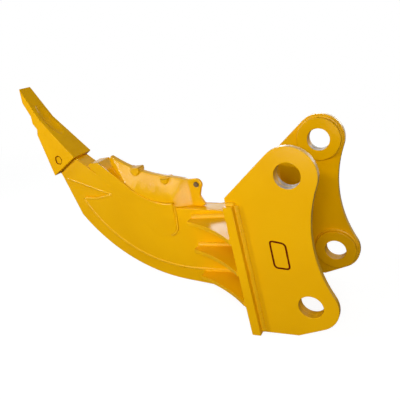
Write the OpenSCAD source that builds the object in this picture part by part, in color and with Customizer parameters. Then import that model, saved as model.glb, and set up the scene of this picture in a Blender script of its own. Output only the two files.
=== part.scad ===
// Single-shank ripper for an excavator of the 20 tonne class, lying on its back.
// Outlines are drawn upright: x runs from the base plate's shank side, z from its top end,
// y from the middle plane along the pins. The last step tilts the whole into its resting pose.

/* [Pin interface] */
// Bore diameter for the arm pin and the link pin
pin_d = 80; // [60:1:95]
// Clear width between the facing boss rings
pin_gap = 340; // [300:5:400]
// Distance between the arm pin and the link pin
pin_pitch = 443; // [410:1:450]
// Distance from the base plate's shank side to the pin axes
pin_reach = 216; // [200:1:250]
// Height of the arm pin above the base plate's top end
arm_rise = 79; // [70:1:95]

/* [Ear plates] */
// Thickness of an ear plate
ear_t = 20; // [14:1:28]
// Radius of an ear plate round each pin
ear_r = 88; // [82:1:95]
// Radius of the hollow edge between the two pins
waist_r = 450; // [380:5:600]
// Height of the upright step above the base plate
step_h = 22; // [12:1:30]
// Length of the flat sole at an ear plate's lower end
sole_l = 126; // [100:1:140]
// Outside diameter of a boss ring
boss_d = 155; // [130:1:160]
// Height of a boss ring above the ear plate
boss_h = 20; // [10:1:30]

/* [Base plate] */
// Thickness of the base plate
base_t = 32; // [25:1:40]
// Height of the base plate
base_h = 479; // [470:1:500]
// Amount by which the base plate stands out past each ear plate
base_lip = 24; // [15:1:35]

/* [Shank] */
// Thickness of the shank plate
core_t = 56; // [48:1:64]
// Radius of the shank's back
back_r = 666; // [655:1:675]
// Distance of the back's centre in front of the base plate
back_x = 258; // [250:1:265]
// Height of the back's centre above the base plate's top end
back_z = 257; // [250:1:262]
// Angle from level at which the back's curve turns into the straight front
back_front_a = 31; // [28:0.5:34]
// Slope of the straight stretch between the back's curve and the base plate
tail_a = 8.5; // [6:0.5:10]
// Radius of the shank's hollow leading edge
hollow_r = 383; // [376:1:390]
// Distance of the hollow's centre in front of the base plate
hollow_x = 330; // [322:1:338]
// Height of the hollow's centre above the base plate's top end
hollow_z = 310; // [304:1:316]
// Depth of the shank's upper edge at the base plate, below the plate's top end
root_drop = 103; // [98:1:108]

/* [Side plates] */
// Thickness of a side plate
side_t = 8; // [6:1:10]
// Radius of a side plate's lower edge
side_r = 556; // [548:1:562]
// Distance of that edge's centre in front of the base plate
side_x = 271; // [265:1:277]
// Height of that edge's centre above the base plate's top end
side_z = 216; // [212:1:222]
// Distance of the fish-mouth's point in front of the base plate
fish_x = 615; // [605:1:625]
// Depth of the fish-mouth's point below the shank's hollow edge
fish_depth = 37.4; // [30:0.1:45]
// Slope of the fish-mouth's upper edge
fish_a = 22; // [18:1:26]

/* [Cheek plates] */
// Thickness of a cheek plate at its thin lower edge
cheek_edge = 1.5; // [1:0.1:3]
// Angle at which a cheek plate grows thicker towards the guard
cheek_taper = 3.4; // [2:0.1:4.5]
// Radius of a cheek plate's hollow upper edge, behind its straight front stretch
cheek_r = 250; // [244:1:256]
// Distance of a cheek plate's rear edge in front of the base plate
cheek_rear = 318; // [310:1:330]
// Radius of the round lower rear corner
cheek_corner = 45; // [30:1:55]

/* [Tooth] */
// Length of the tooth from mouth to tip
tooth_l = 377; // [350:1:400]
// Height of the tooth at its mouth
mouth_h = 164; // [158:1:176]
// Width of the tooth at its mouth
mouth_w = 110; // [104:1:120]
// Width of the tooth at its tip
tip_w = 64; // [50:1:76]
// Lean of the tooth away from upright
tooth_a = 24.8; // [22:0.2:27]
// Distance of the mouth's middle in front of the base plate
mouth_x = 812; // [806:1:818]
// Height of the mouth's middle above the base plate's top end
mouth_z = 147; // [142:1:152]
// Diameter of the pin that holds the tooth
tooth_pin_d = 34; // [26:1:40]

/* [Guard] */
// Radius of the guard's ridge
ridge_r = 560; // [550:5:570]
// Width of the ridge
ridge_w = 22; // [16:1:28]
// Height over which the guard's flanks slope
flank_h = 85; // [75:1:90]
// Length over which the guard narrows to its rear lug
guard_taper = 72; // [50:1:90]
// Thickness of the guard's rear lug
lug_t = 14; // [10:1:20]
// Diameter of the pin in the guard's rear lug
guard_pin_d = 20; // [16:1:24]

/* [Gussets] */
// Thickness of a gusset
gusset_t = 16; // [10:1:20]
// Length of a gusset along the shank
gusset_l = 255; // [220:1:275]
// Reach of a gusset from the side plate
gusset_w = 190; // [170:1:196]
// Width of a gusset's blunt end
gusset_tip = 38; // [25:1:50]
// Radius of a gusset's hollow free edge
gusset_r = 800; // [600:10:1200]
// Depth of the upper gusset's top face below the base plate's top end
gusset_drop = 116; // [112:1:120]
// Spacing of the gussets
gusset_pitch = 118; // [116:1:119]

/* [Fits] */
// Gap between a pin and its bore, on the radius
pin_play = 0.3; // [0.1:0.05:0.8]
// Gap between the guard and each cheek plate
guard_play = 0.5; // [0.2:0.1:1]
// Gap between the nose and each side of the tooth's socket
nose_play = 0.5; // [0.2:0.1:1]
// Gap between the tooth's mouth and the shank's shoulder
mouth_gap = 4; // [2:0.5:8]

/* [Hidden] */
$fn = 96;

paint = "#EEB200";
steel = "#8E8780";
far = 2000;
// Depth by which a straight edge runs in under the round edge that it meets
blend = 0.05;

// Places across the pins
boss_in = pin_gap / 2;
ear_in = boss_in + boss_h;
ear_out = ear_in + ear_t;
base_half = ear_out + base_lip;
core_half = core_t / 2;
side_half = core_half + side_t;

// Pin centres and the ear plate's tangent points
arm = [pin_reach, arm_rise];
link = [pin_reach, arm_rise - pin_pitch];
step_top = [0, step_h];
sole_end = [base_t + sole_l, -base_h];
waist_mid = (arm + link) / 2;
waist_c = waist_mid + [sqrt(pow(waist_r + ear_r, 2) - pow(pin_pitch / 2, 2)), 0];
arm_to_waist = arm + ear_r * unit(waist_c - arm);
link_to_waist = link + ear_r * unit(waist_c - link);
arm_tangent = tangent_point(step_top, arm, ear_r - blend, 1);
link_tangent = tangent_point(sole_end, link, ear_r - blend, -1);

// Shank curves
back_c = [-back_x, back_z];
hollow_c = [-hollow_x, hollow_z];
back_front = back_c - back_r * [cos(back_front_a), sin(back_front_a)];
back_tail = back_c - back_r * [sin(tail_a), cos(tail_a)];
tail_end = [0, back_tail[1] + back_tail[0] * tan(tail_a)];
hollow_low = hollow_c - [0, hollow_r];
hollow_front = hollow_c - hollow_r * [sin(45), cos(45)];
root_top = [0, -root_drop];

// Tooth and nose, along the tooth's own axis
mouth = [-mouth_x, mouth_z];
along = [-sin(tooth_a), cos(tooth_a)];
across = [cos(tooth_a), sin(tooth_a)];
shoulder_h = mouth_h / 2 - 14;
nose_h = shoulder_h - 6;
nose_l = 0.4 * tooth_l;
nose_end = 22;
shoulder_front = mouth + shoulder_h * across - mouth_gap * along;
shoulder_back = mouth - shoulder_h * across - mouth_gap * along;
tooth_pin_s = 38;
tooth_pin_w = -6;
throat_out = 221;
throat_ring = 162;
throat_r = 38;

// Side plates and cheek plates
side_c = [-side_x, side_z];
fish = [-fish_x, hollow_z - sqrt(pow(hollow_r + fish_depth, 2) - pow(fish_x - hollow_x, 2))];
prong_l = 260;
prong_rise = 200;
cheek_shift = -1;
cheek_drop = 111;
cheek_c = hollow_c + [cheek_shift, -cheek_drop];
cheek_low = [-433, -194];
cheek_high = [-690, 131];
cheek_run = cheek_high - cheek_low;
cheek_turn = atan2(cheek_run[1], cheek_run[0]);
cheek_top = [-636, 144];
cheek_out = unit(tangent_point(cheek_top, cheek_c, cheek_r, -1) - cheek_c);
cheek_line = norm(tangent_point(cheek_top, cheek_c, cheek_r, -1) - cheek_top);
floor_drop = 3;

// Guard
ridge_back = 90;
ridge_lift = 292;
ridge_c = hollow_c + [ridge_back, ridge_lift];
ridge_top = 60;
wedge_depth = 260;
toe_x = -688;
toe_z = 143;
crest_x = -602;
flank_x = -522;
guard_rear = -248;
lug = [-216, 6];
lug_r = guard_pin_d / 2 + 13;
stud_front = [-475, 92];
stud_rear = [-345, 43];

// Resting pose: the base plate's lower edge and the shank's back touch the floor
rest_reach = sqrt(pow(back_x, 2) + pow(back_z + base_h, 2));
rest_a = acos(back_r / rest_reach) - atan2(back_x, back_z + base_h);

function unit(v) = v / norm(v);
function tangent_point(p, c, r, side) = let (d = norm(p - c), a = acos(r / d), v = unit(p - c))
    c + r * [v[0] * cos(a) + side * v[1] * sin(a), v[1] * cos(a) - side * v[0] * sin(a)];

// Turns upright geometry into the resting pose, with the arm pin's middle at the origin
module rest() {
    rotate([0, -rest_a, 0])
        translate([-arm[0], 0, -arm[1]])
            children();
}

// Stands an outline up and gives it thickness from y0 to y1
module slab(y0, y1) {
    translate([0, y1, 0])
        rotate([90, 0, 0])
            linear_extrude(y1 - y0)
                children();
}

// Puts a part on the left (+y) side, or mirrors it to the right
module on_side(side) {
    mirror([0, side < 0 ? 1 : 0, 0])
        children();
}

// A round bar across the shank
module cross_bar(p, d, half) {
    translate([p[0], half, p[1]])
        rotate([90, 0, 0])
            cylinder(d = d, h = 2 * half);
}

// Puts parts into the tooth's own axes: z towards the tip, x towards the leading face
module tooth_axes() {
    translate([mouth[0], 0, mouth[1]])
        rotate([0, -tooth_a, 0])
            children();
}

module disc(p, r) {
    translate(p)
        circle(r);
}

module shank_blank() {
    difference() {
        intersection() {
            polygon([root_top, hollow_low, hollow_front, shoulder_front, shoulder_back, back_front,
                back_front - [0, far], [0, -far]]);
            union() {
                disc(back_c, back_r);
                polygon([back_tail, tail_end, root_top, hollow_low, [back_tail[0], hollow_low[1]]]);
                polygon([shoulder_front, shoulder_back, back_front, hollow_front]);
            }
        }
        disc(hollow_c, hollow_r);
    }
}

module nose_outline(end_gap) {
    polygon([[-nose_h, -mouth_gap - 30], [nose_h, -mouth_gap - 30], [nose_h, 0],
        [nose_end, nose_l + end_gap], [-nose_end, nose_l + end_gap], [-nose_h, 0]]);
}

module shank_plate() {
    color(paint)
        rest()
            difference() {
                union() {
                    slab(-core_half, core_half)
                        shank_blank();
                    tooth_axes()
                        slab(-core_half, core_half)
                            nose_outline(0);
                }
                tooth_axes()
                    cross_bar([tooth_pin_w, tooth_pin_s], tooth_pin_d + 2 * pin_play, core_t);
            }
}

module side_outline() {
    prong = fish + prong_l * [-cos(fish_a), sin(fish_a)];
    side_low = side_c - [0, side_r];
    difference() {
        intersection() {
            shank_blank();
            union() {
                disc(side_c, side_r);
                polygon([side_low, side_low + [side_x, -side_x * tan(2)], root_top, hollow_low]);
                polygon([fish, prong, prong + prong_rise * along, shoulder_front, hollow_front]);
            }
        }
        polygon([fish, fish + [-85, -14], fish + [-165, -8], prong - [0, 120], prong]);
    }
}

module side_plate(side) {
    color(paint)
        rest()
            on_side(side)
                slab(core_half, side_half)
                    side_outline();
}

// The room above the cheek plates' upper edges: straight in front, round behind
module cheek_hollow(drop) {
    low = cheek_c + (cheek_r + drop - blend) * cheek_out;
    high = low + 1.5 * cheek_line * [cheek_out[1], -cheek_out[0]];
    cross_bar(cheek_c, 2 * (cheek_r + drop), far);
    slab(-far, far)
        polygon([low, high, high - cheek_r * cheek_out, cheek_c]);
}

module cheek_slab() {
    rear_top = [-cheek_rear, cheek_c[1] - sqrt(pow(cheek_r, 2) - pow(cheek_c[0] + cheek_rear, 2))];
    corner = [-cheek_rear - cheek_corner - 12, cheek_low[1] + cheek_corner + 6];
    inset = cheek_corner - blend;
    difference() {
        union() {
            slab(side_half, side_half + 40)
                polygon([rear_top, corner + [inset, 0], corner - [0, inset], cheek_low, cheek_high,
                    [cheek_high[0], toe_z], cheek_top]);
            slab(side_half, side_half + 40)
                disc(corner, cheek_corner);
        }
        cheek_hollow(0);
    }
}

module cheek_plate(side) {
    color(paint)
        rest()
            on_side(side)
                intersection() {
                    cheek_slab();
                    translate([cheek_low[0], side_half + cheek_edge, cheek_low[1]])
                        rotate([0, -cheek_turn, 0])
                            rotate([cheek_taper, 0, 0])
                                translate([-far, -far, -far])
                                    cube([2 * far, far, 2 * far]);
                }
}

module guard_outline() {
    front = ridge_c - ridge_r * [sin(37.7), cos(37.7)];
    fall = guard_rear - guard_taper;
    fall_z = ridge_c[1] - sqrt(pow(ridge_r, 2) - pow(fall - ridge_c[0], 2)) + blend;
    difference() {
        polygon([[toe_x, toe_z - 60], [toe_x, toe_z], [crest_x, toe_z], front, [fall, fall_z],
            [guard_rear, lug[1] + lug_r], [guard_rear, hollow_low[1] - 30], hollow_low - [0, 30]]);
        disc(ridge_c, ridge_r);
    }
}

module lug_plate() {
    slab(-lug_t / 2, lug_t / 2)
        polygon([[guard_rear - 20, lug[1] + lug_r], lug + [0, lug_r - blend], lug + [lug_r - blend, 0],
            lug + [4, -46], lug + [20, -84], [guard_rear - 20, hollow_low[1] - 30]]);
    cross_bar(lug, 2 * lug_r, lug_t / 2);
}

// The guard from above: full width between the cheek plates, narrowing to the lug
module guard_plan(front, front_half) {
    half = side_half - guard_play;
    translate([0, 0, -far])
        linear_extrude(2 * far)
            polygon([[front, -front_half], [flank_x, -half], [guard_rear - guard_taper, -half],
                [guard_rear, -lug_t / 2], [guard_rear, lug_t / 2], [guard_rear - guard_taper, half],
                [flank_x, half], [front, front_half]]);
}

module guard_wedge() {
    half = side_half - guard_play;
    translate([ridge_c[0], 0, ridge_c[1]])
        rotate([90, 0, 0])
            rotate_extrude($fn = 180)
                polygon([[ridge_r - ridge_top, -ridge_w / 2], [ridge_r, -ridge_w / 2],
                    [ridge_r + flank_h, -half], [ridge_r + wedge_depth, -half],
                    [ridge_r + wedge_depth, half], [ridge_r + flank_h, half],
                    [ridge_r, ridge_w / 2], [ridge_r - ridge_top, ridge_w / 2]]);
}

module stud(p, d, half, top) {
    intersection() {
        cross_bar(p, d, half);
        translate([p[0] - d, -far, p[1] - d])
            cube([2 * d, 2 * far, d + top]);
    }
}

module shank_guard() {
    color(paint)
        rest()
            difference() {
                union() {
                    intersection() {
                        slab(-side_half, side_half)
                            guard_outline();
                        guard_wedge();
                        guard_plan(crest_x, 0);
                    }
                    difference() {
                        intersection() {
                            slab(-side_half, side_half)
                                guard_outline();
                            guard_plan(toe_x, side_half - guard_play);
                        }
                        cheek_hollow(floor_drop);
                    }
                    lug_plate();
                    stud(stud_front, 46, 22, 8);
                    stud(stud_rear, 38, 23, 3);
                }
                slab(-far, far)
                    shank_blank();
                cross_bar(lug, guard_pin_d + 2 * pin_play, far);
            }
}

module guard_pin() {
    color(steel)
        rest()
            cross_bar(lug, guard_pin_d, lug_t / 2 + 3);
}

module tooth_outline() {
    high = mouth_h / 2;
    polygon([[-high, 0], [high, 0], [30, 0.58 * tooth_l], [29, tooth_l], [-2, tooth_l - 52],
        [-4, 0.685 * tooth_l], [-20, 0.615 * tooth_l], [-16, 0.53 * tooth_l], [-33, 0.485 * tooth_l]]);
}

module tooth_plan() {
    polygon([[-mouth_w / 2, 0], [mouth_w / 2, 0], [tip_w / 2, tooth_l], [-tip_w / 2, tooth_l]]);
}

module throat() {
    translate([throat_out, 0, 0.61 * tooth_l])
        rotate([90, 0, 0])
            rotate_extrude($fn = 180)
                translate([throat_ring, 0])
                    circle(throat_r);
}

module ripper_tooth() {
    socket_half = core_half + nose_play;
    color(paint)
        rest()
            tooth_axes()
                difference() {
                    intersection() {
                        slab(-mouth_w, mouth_w)
                            tooth_outline();
                        rotate([0, 0, 90])
                            slab(-mouth_h, mouth_h)
                                tooth_plan();
                    }
                    slab(-socket_half, socket_half)
                        nose_outline(3);
                    throat();
                    cross_bar([tooth_pin_w, tooth_pin_s], tooth_pin_d + 2 * pin_play, mouth_w);
                }
}

module tooth_pin() {
    pin_half = (mouth_w - (mouth_w - tip_w) * tooth_pin_s / tooth_l) / 2 - 3;
    color(steel)
        rest()
            tooth_axes()
                cross_bar([tooth_pin_w, tooth_pin_s], tooth_pin_d, pin_half);
}

module base_plate() {
    color(paint)
        rest()
            translate([0, -base_half, -base_h])
                cube([base_t, 2 * base_half, base_h]);
}

module ear_plate(side) {
    color(paint)
        rest()
            on_side(side)
                difference() {
                    union() {
                        slab(ear_in, ear_out)
                            polygon([step_top, arm_tangent, arm_to_waist, link_to_waist, link_tangent,
                                sole_end, [base_t, -base_h], [base_t, 0], [0, 0]]);
                        slab(ear_in, ear_out)
                            disc(arm, ear_r);
                        slab(ear_in, ear_out)
                            disc(link, ear_r);
                    }
                    cross_bar(waist_c, 2 * waist_r + 2 * blend, far);
                    cross_bar(arm, pin_d, far);
                    cross_bar(link, pin_d, far);
                }
}

module boss(side, p) {
    color(paint)
        rest()
            on_side(side)
                slab(boss_in, ear_in)
                    difference() {
                        disc(p, boss_d / 2);
                        disc(p, pin_d / 2);
                    }
}

module gusset(side, row, inner) {
    low = [-gusset_l, side_half + gusset_tip];
    high = [-10, side_half + gusset_w];
    chord = high - low;
    lift = sqrt(pow(gusset_r, 2) - pow(norm(chord) / 2, 2));
    edge_c = (low + high) / 2 + lift * unit([-chord[1], chord[0]]);
    color(paint)
        rest()
            on_side(side)
                translate([0, 0, -gusset_drop - row * gusset_pitch - gusset_t])
                    linear_extrude(gusset_t)
                        difference() {
                            polygon([[0, inner], [-gusset_l, inner], low, high, [0, high[1]]]);
                            disc(edge_c, gusset_r);
                        }
}

shank_plate();
side_plate(1);  // side_plate_left
side_plate(-1);  // side_plate_right
cheek_plate(1);  // cheek_plate_left
cheek_plate(-1);  // cheek_plate_right
shank_guard();
guard_pin();
ripper_tooth();
tooth_pin();
base_plate();
ear_plate(1);  // ear_plate_left
ear_plate(-1);  // ear_plate_right
boss(1, arm);  // arm_boss_left
boss(-1, arm);  // arm_boss_right
boss(1, link);  // link_boss_left
boss(-1, link);  // link_boss_right
gusset(1, 0, side_half);  // upper_gusset_left
gusset(-1, 0, side_half);  // upper_gusset_right
gusset(1, 1, side_half);  // middle_gusset_left
gusset(-1, 1, side_half);  // middle_gusset_right
gusset(1, 2, core_half);  // lower_gusset_left
gusset(-1, 2, core_half);  // lower_gusset_right
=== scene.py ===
import math
import bmesh
import bpy
from mathutils import Matrix, Quaternion, Vector


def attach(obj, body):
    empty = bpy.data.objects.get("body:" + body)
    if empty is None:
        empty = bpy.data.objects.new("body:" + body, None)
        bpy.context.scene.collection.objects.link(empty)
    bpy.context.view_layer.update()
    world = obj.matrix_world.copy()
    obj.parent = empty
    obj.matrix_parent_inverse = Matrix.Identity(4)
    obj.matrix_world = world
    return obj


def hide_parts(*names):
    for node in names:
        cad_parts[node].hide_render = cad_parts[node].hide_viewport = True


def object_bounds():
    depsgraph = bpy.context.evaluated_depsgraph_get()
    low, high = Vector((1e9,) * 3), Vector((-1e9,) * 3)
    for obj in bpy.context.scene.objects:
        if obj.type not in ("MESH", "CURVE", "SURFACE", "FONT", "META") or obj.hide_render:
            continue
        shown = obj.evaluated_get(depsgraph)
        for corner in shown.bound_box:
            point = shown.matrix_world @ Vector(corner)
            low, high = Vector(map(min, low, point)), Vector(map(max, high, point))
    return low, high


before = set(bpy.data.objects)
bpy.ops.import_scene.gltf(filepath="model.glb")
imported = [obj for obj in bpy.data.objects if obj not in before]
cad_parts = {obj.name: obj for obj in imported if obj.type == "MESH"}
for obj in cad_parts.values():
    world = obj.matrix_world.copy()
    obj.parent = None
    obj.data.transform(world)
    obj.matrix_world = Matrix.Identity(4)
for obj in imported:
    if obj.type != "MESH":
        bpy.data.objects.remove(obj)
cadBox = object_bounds()
print("frame loaded:", len(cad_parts), "nodes")

# the steelwork is drawn upright in mm, then tilted until base plate and shank back touch the floor
rest = {"tilt": 12.0389, "armX": 216, "armZ": 79}
tiltCos = math.cos(math.radians(rest["tilt"]))
tiltSin = math.sin(math.radians(rest["tilt"]))


def upright(x, y, z):
    # upright drawing in mm to the resting frame in metres
    across, rise = x - rest["armX"], z - rest["armZ"]
    return Vector((tiltCos * across - tiltSin * rise, y, tiltSin * across + tiltCos * rise)) / 1000


def arcRun(centre, radius, start, end, y, count):
    # points round a centre, angles in degrees from straight down towards the tooth
    turns = [math.radians(start + (end - start) * i / count) for i in range(count + 1)]
    return [upright(centre[0] - radius * math.sin(t), y, centre[1] - radius * math.cos(t)) for t in turns]


def hexColour(code):
    # sRGB hex to the linear values that the shaders take
    parts = [int(code[i:i + 2], 16) / 255 for i in (1, 3, 5)]
    return [p / 12.92 if p <= 0.04045 else ((p + 0.055) / 1.055) ** 2.4 for p in parts] + [1]


def addNode(tree, kind, inputs={}, **settings):
    # one node: settings are its own properties, inputs are values or sockets to link
    node = tree.nodes.new(kind)
    for name, value in settings.items():
        setattr(node, name, value)
    for name, value in inputs.items():
        if isinstance(value, bpy.types.NodeSocket):
            tree.links.new(value, node.inputs[name])
        else:
            node.inputs[name].default_value = value
    return node


def newMaterial(name):
    material = bpy.data.materials.new(name)
    material.use_nodes = True
    material.node_tree.nodes.clear()
    tree = material.node_tree
    return material, tree, addNode(tree, "ShaderNodeTexCoord").outputs["Object"]


def anyRay(tree):
    # one where the backdrop is looked at: straight, mirrored or through glass
    path = addNode(tree, "ShaderNodeLightPath")
    first = addNode(tree, "ShaderNodeMath", {0: path.outputs["Is Camera Ray"], 1: path.outputs["Is Glossy Ray"]},
                    operation="MAXIMUM")
    return addNode(tree, "ShaderNodeMath", {0: first.outputs[0], 1: path.outputs["Is Transmission Ray"]},
                   operation="MAXIMUM")


# yellow gloss enamel sprayed on rolled plate: even colour, slow cloudiness, faint orange peel
plateEnamel = {"light": "#F4B800", "deep": "#E9AA00", "roughness": 0.22, "spread": 0.05, "gloss": 0.2,
               "cloudMm": 160, "peelMm": 5, "deepMm": 2, "peel": 0.10}


def makeEnamel(name, look):
    material, tree, where = newMaterial(name)
    cloud = addNode(tree, "ShaderNodeTexNoise", {"Vector": where, "Scale": 1000 / look["cloudMm"], "Detail": 3})
    peel = addNode(tree, "ShaderNodeTexNoise", {"Vector": where, "Scale": 1000 / look["peelMm"], "Detail": 2})
    tint = addNode(tree, "ShaderNodeMixRGB", {"Fac": cloud.outputs["Fac"], "Color1": hexColour(look["deep"]),
                                              "Color2": hexColour(look["light"])})
    sheen = addNode(tree, "ShaderNodeMapRange", {"Value": cloud.outputs["Fac"], "From Min": 0.3, "From Max": 0.7,
                                                 "To Min": look["roughness"] - look["spread"],
                                                 "To Max": look["roughness"] + look["spread"]})
    bump = addNode(tree, "ShaderNodeBump", {"Height": peel.outputs["Fac"], "Strength": look["peel"],
                                            "Distance": look["deepMm"] / 1000})
    paint = addNode(tree, "ShaderNodeBsdfPrincipled", {"Base Color": tint.outputs["Color"],
                                                       "Roughness": sheen.outputs["Result"],
                                                       "Normal": bump.outputs["Normal"],
                                                       "IOR": 1.5, "Specular IOR Level": look["gloss"]})
    addNode(tree, "ShaderNodeOutputMaterial", {"Surface": paint.outputs["BSDF"]})
    return material


# the same enamel over the cast guard: a lightly pebbled skin whose glare has soft, wavy edges
castEnamel = {"light": "#F4B800", "deep": "#E6A600", "roughness": 0.2, "spread": 0.06, "gloss": 0.2,
              "cloudMm": 45, "peelMm": 8, "deepMm": 2.5, "peel": 0.3}
# the same enamel on the tooth: deeper and less mirror-like, so its front face stays a warm brown yellow
toothEnamel = {"light": "#F4B800", "deep": "#E6A600", "roughness": 0.28, "spread": 0.06, "gloss": 0.06,
               "cloudMm": 60, "peelMm": 6, "deepMm": 2, "peel": 0.12}
# the same enamel over weld metal: small uneven lumps
weldEnamel = {"light": "#F6BE0C", "deep": "#E6A600", "roughness": 0.3, "spread": 0.05, "gloss": 0.25,
              "cloudMm": 40, "peelMm": 9, "deepMm": 2, "peel": 0.2}

# turned bore wall, carbon steel: grey with fine rings, bare low down in the arm bores, oversprayed elsewhere
boreSteel = {"light": "#B0A496", "deep": "#75685A", "roughness": 0.5, "ringMm": 3, "stainMm": 30,
             "spray": "#D9A004", "bareFrom": -0.012, "bareTo": -0.03, "armFrom": -0.06, "ragged": 0.05}
# what both bare steels share; waveTurn is the wave texture's own length of one ring
steelSkin = {"metallic": 0.7, "gloss": 0.25, "waveTurn": 6.28, "waver": 0.6, "groove": 0.15, "grooveMm": 0.5}


def makeBoreSteel(name, look):
    material, tree, where = newMaterial(name)
    # rings follow the pin axis; real feed marks are far finer, drawn 3 mm apart so that they show
    rings = addNode(tree, "ShaderNodeTexWave", {"Vector": where, "Scale": 1000 / look["ringMm"] / steelSkin["waveTurn"],
                                                "Distortion": steelSkin["waver"]}, bands_direction="Y")
    stain = addNode(tree, "ShaderNodeTexNoise", {"Vector": where, "Scale": 1000 / look["stainMm"], "Detail": 5})
    tint = addNode(tree, "ShaderNodeMixRGB", {"Fac": stain.outputs["Fac"], "Color1": hexColour(look["deep"]),
                                              "Color2": hexColour(look["light"])})
    bump = addNode(tree, "ShaderNodeBump", {"Height": rings.outputs["Fac"], "Strength": steelSkin["groove"],
                                            "Distance": steelSkin["grooveMm"] / 1000})
    colour, bare = tint.outputs["Color"], steelSkin["metallic"]
    if "spray" in look:
        # the arm pin's axis is the frame's origin, so height alone tells the bore's floor from its roof
        axes = addNode(tree, "ShaderNodeSeparateXYZ", {"Vector": where})
        ragged = addNode(tree, "ShaderNodeMath", {0: stain.outputs["Fac"], 1: look["ragged"], 2: axes.outputs["Z"]},
                         operation="MULTIPLY_ADD")
        middle = look["ragged"] / 2
        low = addNode(tree, "ShaderNodeMapRange", {"Value": ragged.outputs[0], "From Min": look["bareFrom"] + middle,
                                                   "From Max": look["bareTo"] + middle})
        arm = addNode(tree, "ShaderNodeMath", {0: axes.outputs["Z"], 1: look["armFrom"]}, operation="GREATER_THAN")
        mask = addNode(tree, "ShaderNodeMath", {0: low.outputs[0], 1: arm.outputs[0]}, operation="MULTIPLY")
        colour = addNode(tree, "ShaderNodeMixRGB", {"Fac": mask.outputs[0], "Color1": hexColour(look["spray"]),
                                                    "Color2": colour}).outputs["Color"]
        bare = addNode(tree, "ShaderNodeMath", {0: mask.outputs[0], 1: bare}, operation="MULTIPLY").outputs[0]
    metal = addNode(tree, "ShaderNodeBsdfPrincipled", {"Base Color": colour, "Metallic": bare,
                                                       "Roughness": look["roughness"],
                                                       "Specular IOR Level": steelSkin["gloss"],
                                                       "Normal": bump.outputs["Normal"]})
    addNode(tree, "ShaderNodeOutputMaterial", {"Surface": metal.outputs["BSDF"]})
    return material


# round bar, mill finish: dull brown-grey steel with darker specks
barSteel = {"light": "#94764E", "deep": "#5E4730", "roughness": 0.5, "ringMm": 4, "stainMm": 9}

# screen ink on enamel: dark red-brown, a little thin in places
frameInk = {"light": "#701000", "deep": "#540800", "roughness": 0.5, "spread": 0.05, "gloss": 0.05,
            "cloudMm": 12, "peelMm": 2, "deepMm": 1, "peel": 0.05}
# painted shade: dark red-brown colour standing in for the shadowed gap round the tooth pin
pinShadeLook = {"light": "#8A3802", "deep": "#602002", "roughness": 0.8, "spread": 0.05, "gloss": 0.02,
              "cloudMm": 6, "peelMm": 2, "deepMm": 1, "peel": 0.1}

enamel = makeEnamel("gloss enamel on plate", plateEnamel)
castPaint = makeEnamel("gloss enamel on cast steel", castEnamel)
toothPaint = makeEnamel("gloss enamel on forged tooth", toothEnamel)
weldPaint = makeEnamel("gloss enamel on weld metal", weldEnamel)
boreMetal = makeBoreSteel("turned carbon steel", boreSteel)
barMetal = makeBoreSteel("mill finish bar steel", barSteel)
inkBrown = makeEnamel("brown screen ink", frameInk)
# the last one is painted shade for the gap round the tooth pin
pinShadePaint = makeEnamel("painted shade in the tooth pin gap", pinShadeLook)
print("materials made")


def addPiece(bm, name, materials, replaced=None):
    mesh = bpy.data.meshes.new(name)
    bm.to_mesh(mesh)
    bm.free()
    for material in materials:
        mesh.materials.append(material)
    piece = bpy.data.objects.new(name, mesh)
    bpy.context.scene.collection.objects.link(piece)
    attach(piece, "root")
    if replaced:
        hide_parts(replaced)
    return piece


# how each steel piece is finished: edge rounding in mm and its paint
dressing = {
    "shank_plate": (3, enamel), "side_plate_left": (2, enamel), "side_plate_right": (2, enamel),
    "cheek_plate_left": (4.5, enamel), "cheek_plate_right": (4.5, enamel), "shank_guard": (4, castPaint),
    "guard_pin": (1, barMetal), "ripper_tooth": (4, toothPaint), "tooth_pin": (1, toothPaint),
    "base_plate": (2, enamel), "ear_plate_left": (2, enamel), "ear_plate_right": (2, enamel),
    "arm_boss_left": (2, enamel), "arm_boss_right": (2, enamel),
    "link_boss_left": (2, enamel), "link_boss_right": (2, enamel),
    "upper_gusset_left": (1, enamel), "upper_gusset_right": (1, enamel),
    "middle_gusset_left": (1, enamel), "middle_gusset_right": (1, enamel),
    "lower_gusset_left": (1, enamel), "lower_gusset_right": (1, enamel),
}
# corners blunter than this stay as they are: degrees, by piece
sharpFrom = {"ripper_tooth": 52, "shank_guard": 19}
finish = {"mergeMm": 0.2, "flatDeg": 0.05, "sharpDeg": 24, "crispDeg": 19, "steps": 3}
cheek = {"sinkMm": 1.7, "rimMm": 39}
pinCentres = ((216, 79), (216, -364))
bores = {"radiusMm": 40, "slackMm": 0.6, "axes": [upright(x, 0, z) for x, z in pinCentres]}


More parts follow.
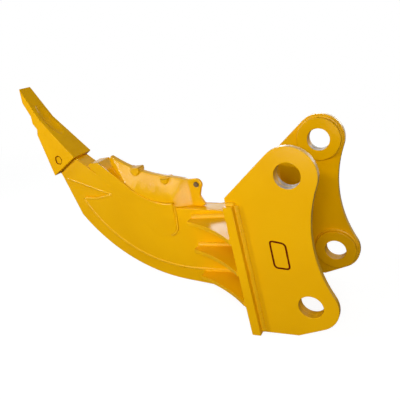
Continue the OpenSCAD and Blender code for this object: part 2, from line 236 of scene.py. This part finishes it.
def dressNode(nodeName, edgeMm, paint):
    bm = bmesh.new()
    bm.from_mesh(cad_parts[nodeName].data)
    bmesh.ops.remove_doubles(bm, verts=bm.verts, dist=finish["mergeMm"] / 1000)
    bmesh.ops.dissolve_limit(bm, angle_limit=math.radians(finish["flatDeg"]), verts=bm.verts, edges=bm.edges)
    # bare bore walls go to the second slot
    for face in bm.faces:
        for axis in bores["axes"]:
            reach = [math.hypot(v.co.x - axis.x, v.co.z - axis.z) * 1000 for v in face.verts]
            if max(abs(r - bores["radiusMm"]) for r in reach) < bores["slackMm"] and abs(face.normal.y) < 0.5:
                face.material_index = 1
    # the cheek's thin lower edge sinks flush into the side plate
    if nodeName.startswith("cheek"):
        inward = 1 if nodeName.endswith("right") else -1
        bmesh.ops.translate(bm, vec=(0, inward * cheek["sinkMm"] / 1000, 0), verts=bm.verts)
    least = math.radians(sharpFrom.get(nodeName, finish["sharpDeg"]))
    sharp = [e for e in bm.edges if len(e.link_faces) == 2 and e.calc_face_angle(0) > least]
    if nodeName.startswith("cheek"):
        sharp = [e for e in sharp if min(abs(v.co.y) for v in e.verts) * 1000 > cheek["rimMm"]]
    # blunt creases aren't rounded but stay crisp, so that flat faces shade flat
    crisp = math.radians(finish["crispDeg"])
    for edge in bm.edges:
        if len(edge.link_faces) == 2 and crisp < edge.calc_face_angle(0) <= least:
            edge.smooth = False
    bmesh.ops.bevel(bm, geom=sharp, offset=edgeMm / 1000, offset_type="OFFSET", affect="EDGES",
                    segments=finish["steps"], profile=0.5, material=-1, clamp_overlap=False)
    for face in bm.faces:
        face.smooth = True
    piece = addPiece(bm, nodeName + "_dressed", [paint, boreMetal], nodeName)
    flat = piece.modifiers.new("flatFaces", "WEIGHTED_NORMAL")
    flat.keep_sharp = True


for nodeName, (edgeMm, paint) in dressing.items():
    dressNode(nodeName, edgeMm, paint)
print("steel pieces dressed:", len(dressing))

# a weld is a run of metal along a seam, swelling a little at each weave; its section is an oval
welds = {"sides": 14, "stepMm": 3, "weaveMm": 11, "swell": 0.05, "tip": 0.55, "levelShare": 0.9}
acrossPins, upTilted = Vector((0, 1, 0)), Vector((-tiltSin, 0, tiltCos))


def spread(points, stepMm):
    # even steps along a run of points
    run = [points[0]]
    for a, b in zip(points, points[1:]):
        count = max(1, round((b - a).length * 1000 / stepMm))
        run += [a.lerp(b, i / count) for i in range(1, count + 1)]
    return run


def addBead(bm, points, proudMm, wideMm, proud=acrossPins):
    # proudMm is the half size towards proud, wideMm the half size square to it
    run = spread(points, welds["stepMm"])
    places, walked = [], 0
    for i, point in enumerate(run):
        heading = (run[min(i + 1, len(run) - 1)] - run[max(i - 1, 0)]).normalized()
        if i:
            walked += (point - run[i - 1]).length * 1000
        swell = 1 + welds["swell"] * math.sin(walked * math.tau / welds["weaveMm"])
        end = welds["tip"] if i in (0, len(run) - 1) else 1
        outward = (proud - heading * proud.dot(heading)).normalized()
        columns = (outward * proudMm, heading.cross(outward) * wideMm, heading * proudMm)
        turned = Matrix([c * swell * end / 1000 for c in columns]).transposed().to_4x4()
        places.append(Matrix.Translation(point) @ turned)
    ring = bmesh.ops.create_circle(bm, cap_ends=True, segments=welds["sides"], radius=1, matrix=places[0])["verts"]
    edges = list({e for v in ring for e in v.link_edges})
    for last, place in zip(places, places[1:]):
        grown = bmesh.ops.extrude_edge_only(bm, edges=edges)["geom"]
        ring = [g for g in grown if isinstance(g, bmesh.types.BMVert)]
        edges = [g for g in grown if isinstance(g, bmesh.types.BMEdge)]
        bmesh.ops.transform(bm, matrix=place @ last.inverted(), verts=ring)
    bmesh.ops.edgeloop_fill(bm, edges=edges)


def addWeld(name, runs, proudMm, wideMm):
    bm = bmesh.new()
    for points in runs:
        # a bead that runs across the pins stands up, any other stands out sideways
        along = points[-1] - points[0]
        level = abs(along.y) > along.length * welds["levelShare"]
        addBead(bm, points, proudMm, wideMm, upTilted if level else acrossPins)
    bmesh.ops.recalc_face_normals(bm, faces=bm.faces)
    for face in bm.faces:
        face.smooth = True
    addPiece(bm, name, [weldPaint])


# half sizes of each bead in mm, across the pins and along the plate
seams = {"ear": (7, 13), "earEnd": (11, 9), "gusset": (11, 13), "gussetFoot": (10, 10), "foot": (10, 10),
         "sideEdge": (7, 7), "fishMouth": (5, 6), "cheek": (5, 5), "boss": (5, 6)}
# where the beads run, in upright mm
sideFace, coreFace, earIn, earOut = 36, 28, 190, 210
earSeam = {"x": 32, "top": -2, "low": -476, "endFrom": 3, "endTo": 34}
gussetSeam = {"tops": ((-116, sideFace), (-234, sideFace), (-352, coreFace)), "thick": 16,
              "tip": -252, "heel": -4, "inner": 4, "outer": 224}
footSeam = {"top": -104, "low": -344}
lowSeam = {"centre": (-271, 216), "radius": 557, "start": 65.5, "end": 0, "depth": 32, "steps": 60, "heel": (-4, -350)}
mouthSeam = {"depth": 33, "runs": (((-615, 0), (-840, 91)), ((-615, 0), (-700, -13), (-776, -8)))}
cheekSeam = {"top": (-318, -56), "low": (-327, -143), "centre": (-375, -143), "radius": 48,
             "start": -85, "end": -8, "steps": 14}
bossSeam = {"radius": 77.5, "steps": 80}
for side, label in ((-1, "right"), (1, "left")):
    earRuns, endRuns, gussetRuns, footRuns = [], [], [], []
    for y in (side * earIn, side * earOut):
        earRuns.append([upright(earSeam["x"], y, earSeam[z]) for z in ("top", "low")])
        endRuns.append([upright(earSeam[x], y, 0) for x in ("endFrom", "endTo")])
    for top, root in gussetSeam["tops"]:
        for z in (top, top - gussetSeam["thick"]):
            gussetRuns.append([upright(gussetSeam[x], side * root, z) for x in ("tip", "heel")])
            footRuns.append([upright(0, side * y, z) for y in (root + gussetSeam["inner"], gussetSeam["outer"])])
    addWeld("ear_weld_" + label, earRuns, *seams["ear"])
    addWeld("ear_end_weld_" + label, endRuns, *seams["earEnd"])
    addWeld("gusset_weld_" + label, gussetRuns, *seams["gusset"])
    addWeld("gusset_foot_weld_" + label, footRuns, *seams["gussetFoot"])
    shankFoot = [upright(0, side * sideFace, footSeam[z]) for z in ("top", "low")]
    addWeld("foot_weld_" + label, [shankFoot], *seams["foot"])
    lowEdge = arcRun(lowSeam["centre"], lowSeam["radius"], lowSeam["start"], lowSeam["end"],
                     side * lowSeam["depth"], lowSeam["steps"])
    lowEdge.append(upright(lowSeam["heel"][0], side * lowSeam["depth"], lowSeam["heel"][1]))
    addWeld("side_edge_weld_" + label, [lowEdge], *seams["sideEdge"])
    mouthRuns = [[upright(x, side * mouthSeam["depth"], z) for x, z in run] for run in mouthSeam["runs"]]
    addWeld("fish_mouth_weld_" + label, mouthRuns, *seams["fishMouth"])
    rear = [upright(x, side * sideFace, z) for x, z in (cheekSeam["top"], cheekSeam["low"])]
    rear += arcRun(cheekSeam["centre"], cheekSeam["radius"], cheekSeam["start"], cheekSeam["end"],
                   side * sideFace, cheekSeam["steps"])
    addWeld("cheek_weld_" + label, [rear], *seams["cheek"])
    rims = [arcRun(centre, bossSeam["radius"], 0, 360, side * earIn, bossSeam["steps"]) for centre in pinCentres]
    addWeld("boss_weld_" + label, rims, *seams["boss"])
print("welds laid")

# plain printed frame on the near ear, empty inside
earFrame = {"corners": [(120, -123), (174.6, -135.5), (175.6, -230.6), (120.6, -224.6)], "roundMm": 14,
            "roundSteps": 6, "lineMm": 6, "thickMm": 0.4}
bm = bmesh.new()
corners = [bm.verts.new(upright(x, -earOut - earFrame["thickMm"], z)) for x, z in earFrame["corners"]]
bm.faces.new(corners)
bmesh.ops.bevel(bm, geom=corners, offset=earFrame["roundMm"] / 1000, offset_type="OFFSET", affect="VERTICES",
                segments=earFrame["roundSteps"], profile=0.5, material=-1, clamp_overlap=False)
bmesh.ops.recalc_face_normals(bm, faces=bm.faces)
middle = list(bm.faces)
bmesh.ops.inset_region(bm, faces=middle, thickness=earFrame["lineMm"] / 1000, use_boundary=True,
                       use_even_offset=True)
bmesh.ops.delete(bm, geom=middle, context="FACES")
back = bmesh.ops.extrude_face_region(bm, geom=list(bm.faces))["geom"]
backVerts = [g for g in back if isinstance(g, bmesh.types.BMVert)]
bmesh.ops.translate(bm, vec=(0, earFrame["thickMm"] / 1000, 0), verts=backVerts)
bmesh.ops.recalc_face_normals(bm, faces=bm.faces)
addPiece(bm, "ear_frame_print", [inkBrown])
print("printed frame placed")

# painted shade: a dark ring laid in the shadowed gap round the tooth pin, both sides
pinShadeRing = {"root": (-812, 147), "lean": 24.8, "along": 38, "aside": 6,
            "radius": 17.6, "wire": 1.6, "depth": 52, "steps": 40}
leanSin, leanCos = math.sin(math.radians(pinShadeRing["lean"])), math.cos(math.radians(pinShadeRing["lean"]))
pinAt = (pinShadeRing["root"][0] - pinShadeRing["along"] * leanSin - pinShadeRing["aside"] * leanCos,
         pinShadeRing["root"][1] + pinShadeRing["along"] * leanCos - pinShadeRing["aside"] * leanSin)
for side, label in ((-1, "right"), (1, "left")):
    bm = bmesh.new()
    run = arcRun(pinAt, pinShadeRing["radius"], 0, 360, side * pinShadeRing["depth"], pinShadeRing["steps"])
    addBead(bm, run, pinShadeRing["wire"], pinShadeRing["wire"])
    bmesh.ops.recalc_face_normals(bm, faces=bm.faces)
    for face in bm.faces:
        face.smooth = True
    addPiece(bm, "tooth_pin_gap_shade_" + label, [pinShadePaint])
print("tooth pin gap shade placed")

# pale floor that stays white to the eye and keeps the shadow near the object
floorLook = {"size": 14, "centreX": -0.45, "gapM": 0.0005, "colour": "#7C7C7A", "lift": 0.9, "nearM": 1.5, "farM": 2.6}
bm = bmesh.new()
bmesh.ops.create_grid(bm, x_segments=1, y_segments=1, size=floorLook["size"] / 2,
                      matrix=Matrix.Translation((floorLook["centreX"], 0, cadBox[0][2] - floorLook["gapM"])))
floorMesh = bpy.data.meshes.new("floor")
bm.to_mesh(floorMesh)
bm.free()
floor = bpy.data.objects.new("floor", floorMesh)
bpy.context.scene.collection.objects.link(floor)
material, tree, where = newMaterial("pale floor")
centred = addNode(tree, "ShaderNodeMapping", {"Vector": where, "Location": (-floorLook["centreX"], 0, -cadBox[0][2])})
away = addNode(tree, "ShaderNodeVectorMath", {0: centred.outputs[0]}, operation="LENGTH")
fade = addNode(tree, "ShaderNodeMapRange", {"Value": away.outputs["Value"], "From Min": floorLook["nearM"],
                                            "From Max": floorLook["farM"]}, interpolation_type="SMOOTHSTEP")
seen = anyRay(tree)
straight = addNode(tree, "ShaderNodeLightPath").outputs["Is Camera Ray"]
lift = addNode(tree, "ShaderNodeMath", {0: straight, 1: floorLook["lift"]}, operation="MULTIPLY")
glow = addNode(tree, "ShaderNodeEmission", {"Strength": lift.outputs[0]})
matt = addNode(tree, "ShaderNodeBsdfDiffuse", {"Color": hexColour(floorLook["colour"])})
near = addNode(tree, "ShaderNodeAddShader", {0: matt.outputs[0], 1: glow.outputs[0]})
plain = addNode(tree, "ShaderNodeEmission", {"Strength": 1.0})
pick = addNode(tree, "ShaderNodeMath", {0: fade.outputs[0], 1: seen.outputs[0]}, operation="MULTIPLY")
both = addNode(tree, "ShaderNodeMixShader", {0: pick.outputs[0], 1: near.outputs[0], 2: plain.outputs[0]})
addNode(tree, "ShaderNodeOutputMaterial", {"Surface": both.outputs[0]})
floorMesh.materials.append(material)

# world: soft grey light, white where it is looked at
worldLook = {"fill": 0.11, "seen": 1.0}
world = bpy.data.worlds.new("studio")
bpy.context.scene.world = world
world.use_nodes = True
tree = world.node_tree
tree.nodes.clear()
seen = anyRay(tree)
fill = addNode(tree, "ShaderNodeBackground", {"Color": (1, 1, 1, 1), "Strength": worldLook["fill"]})
white = addNode(tree, "ShaderNodeBackground", {"Color": (1, 1, 1, 1), "Strength": worldLook["seen"]})
mix = addNode(tree, "ShaderNodeMixShader", {0: seen.outputs[0], 1: fill.outputs[0], 2: white.outputs[0]})
addNode(tree, "ShaderNodeOutputWorld", {"Surface": mix.outputs[0]})

# lamps: softboxes at front left, in front, beside the camera, left and above, a narrow one low in front that
# glints on the guard's rear taper, and a long daylight band behind that glints on upper faces
lamps = {
    "frontBox": {"from": (-1.93, -1.62, 0.05), "to": (-0.6, 0, -0.2), "size": (0.2, 0.28), "watts": 17},
    "nearBox": {"from": (-0.2, -1.2, -0.12), "to": (-0.2, 0, -0.15), "size": (0.2, 0.2), "watts": 1.3},
    "cameraBox": {"from": (0.6, -2.3, 1.1), "to": (-0.2, 0, -0.1), "size": (0.9, 0.7), "watts": 38},
    "leftBox": {"from": (-1.6, -0.6, 1.25), "to": (-0.6, 0, 0), "size": (0.35, 0.35), "watts": 4.5},
    "taperBox": {"from": (-0.22, -1.16, -0.5), "to": (-0.46, 0, -0.21), "size": (0.15, 0.1), "watts": 0.07,
                 "spreadDeg": 40},
    "topBox": {"from": (-0.25, 0.5, 1.9), "to": (-0.9, 0, 0.2), "size": (0.3, 0.3), "watts": 1.5},
    "backBand": {"from": (-0.3, 2.6, 0.5), "to": (-0.2, 0, 0), "size": (4.2, 0.6), "watts": 38,
                 "tint": (0.85, 0.94, 1)},
}
for name, look in lamps.items():
    lamp = bpy.data.lights.new(name, "AREA")
    lamp.shape = "RECTANGLE"
    lamp.size, lamp.size_y = look["size"]
    lamp.spread = math.radians(look.get("spreadDeg", 180))
    lamp.energy = look["watts"]
    lamp.color = look.get("tint", (1, 1, 1))
    holder = bpy.data.objects.new(name, lamp)
    holder.location = look["from"]
    aim = Vector(look["to"]) - Vector(look["from"])
    holder.rotation_euler = aim.to_track_quat("-Z", "Y").to_euler()
    bpy.context.scene.collection.objects.link(holder)

# camera at the photograph's viewpoint, with its slight roll
view = {"from": (0.32776, -1.34264, 0.45867), "to": (-0.34413, -0.09846, -0.17622), "roll": -3.18,
        "lens": 39.183, "sensor": 36}
camera = bpy.data.objects.new("camera", bpy.data.cameras.new("camera"))
camera.location = view["from"]
aim = (Vector(view["to"]) - Vector(view["from"])).to_track_quat("-Z", "Y")
camera.rotation_euler = (aim @ Quaternion((0, 0, 1), math.radians(view["roll"]))).to_euler()
camera.data.sensor_width = view["sensor"]
camera.data.lens = view["lens"]
bpy.context.scene.collection.objects.link(camera)
bpy.context.scene.camera = camera
bpy.context.scene.view_settings.view_transform = "Standard"
print("stage, lamps and camera set")
